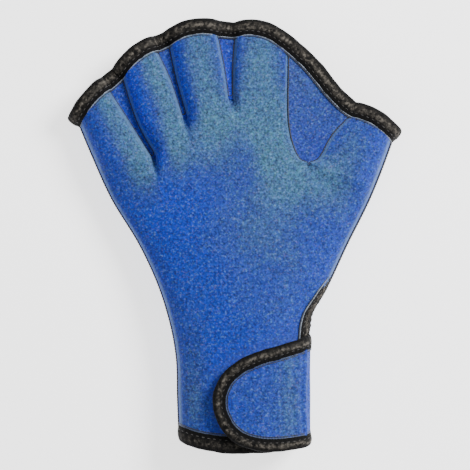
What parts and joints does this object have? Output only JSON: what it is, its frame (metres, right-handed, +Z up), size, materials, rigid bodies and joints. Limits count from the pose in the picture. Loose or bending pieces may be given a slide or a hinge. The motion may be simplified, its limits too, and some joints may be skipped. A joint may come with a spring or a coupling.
{
  "type": "webbed swim glove",
  "caption": "Fingerless webbed swim glove: two neoprene panels, webs between the fingers, bound edges and a wrist closing tab.",
  "frame": {"origin": "middle of the glove's footprint, on the surface that it lies on", "axes": "+Y from the cuff to the fingertips, +X to the thumb, +Z up from the surface out of the palm side"},
  "size_m": [0.179, 0.2304, 0.0358],
  "materials": {
    "blue_neoprene": "fine heathered knit face on neoprene, matte",
    "web_neoprene": "thinner knit-faced neoprene, matte",
    "black_binding": "rolled knit tape, slightly shiny",
    "seam_thread": "dark sewn seam",
    "hook_fastener": "black hook and loop patch"
  },
  "bodies": {
    "root": {"palm_panel": "blue_neoprene", "back_panel": "blue_neoprene", "web_little_ring": "web_neoprene", "web_ring_middle": "web_neoprene", "web_middle_index": "web_neoprene", "web_index_thumb": "web_neoprene", "finger_binding_palm": "black_binding", "finger_binding_back": "black_binding", "cuff_binding": "black_binding", "wrist_tab": "blue_neoprene", "tab_binding": "black_binding", "hook_patch": "hook_fastener", "slit_binding_palm": "black_binding", "slit_binding_back": "black_binding", "seam_little": "seam_thread", "seam_thumb": "seam_thread"}
  },
  "joints": []
}
